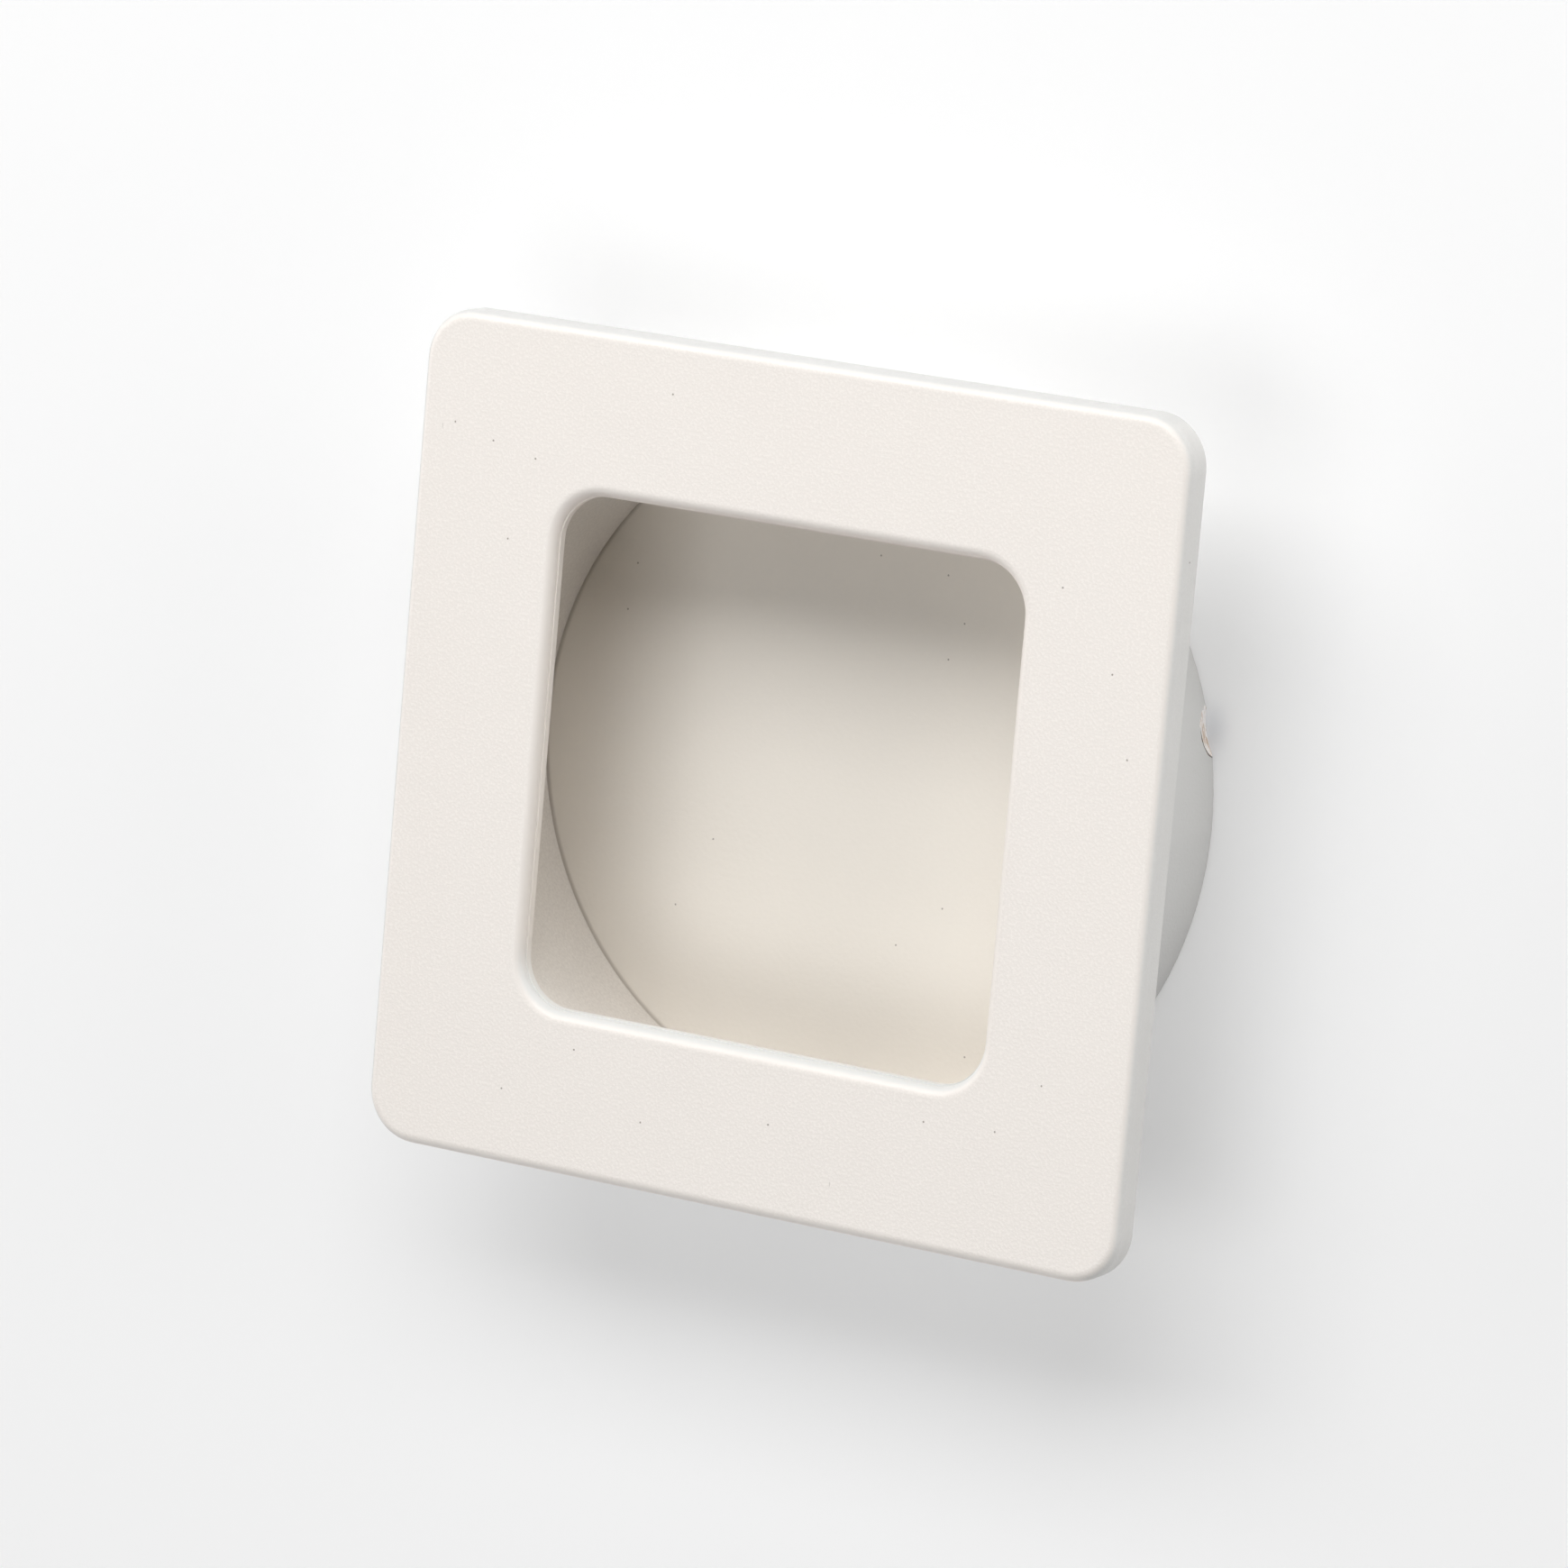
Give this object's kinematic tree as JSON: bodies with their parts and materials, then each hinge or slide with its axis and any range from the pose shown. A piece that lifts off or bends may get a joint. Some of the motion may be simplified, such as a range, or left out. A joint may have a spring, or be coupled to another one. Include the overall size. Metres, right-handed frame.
{
  "type": "flush pull",
  "caption": "Square-faced flush pull with a rounded square mouth over a wider round cup, let into a drilled door so that fingers hook behind its lip.",
  "frame": {"origin": "middle of the cup's flat base, on the cup's axis", "axes": "+Z along the cup's axis, out of the face; +X and +Y square to the plate's sides, towards the right and the top of the face as installed"},
  "size_m": [0.06, 0.06, 0.0144],
  "materials": {
    "body_lacquer": "satin off-white lacquer with a fine grain",
    "floor_lacquer": "satin off-white lacquer"
  },
  "bodies": {
    "root": {"pull_body": "body_lacquer", "cup_floor": "floor_lacquer"}
  },
  "joints": []
}
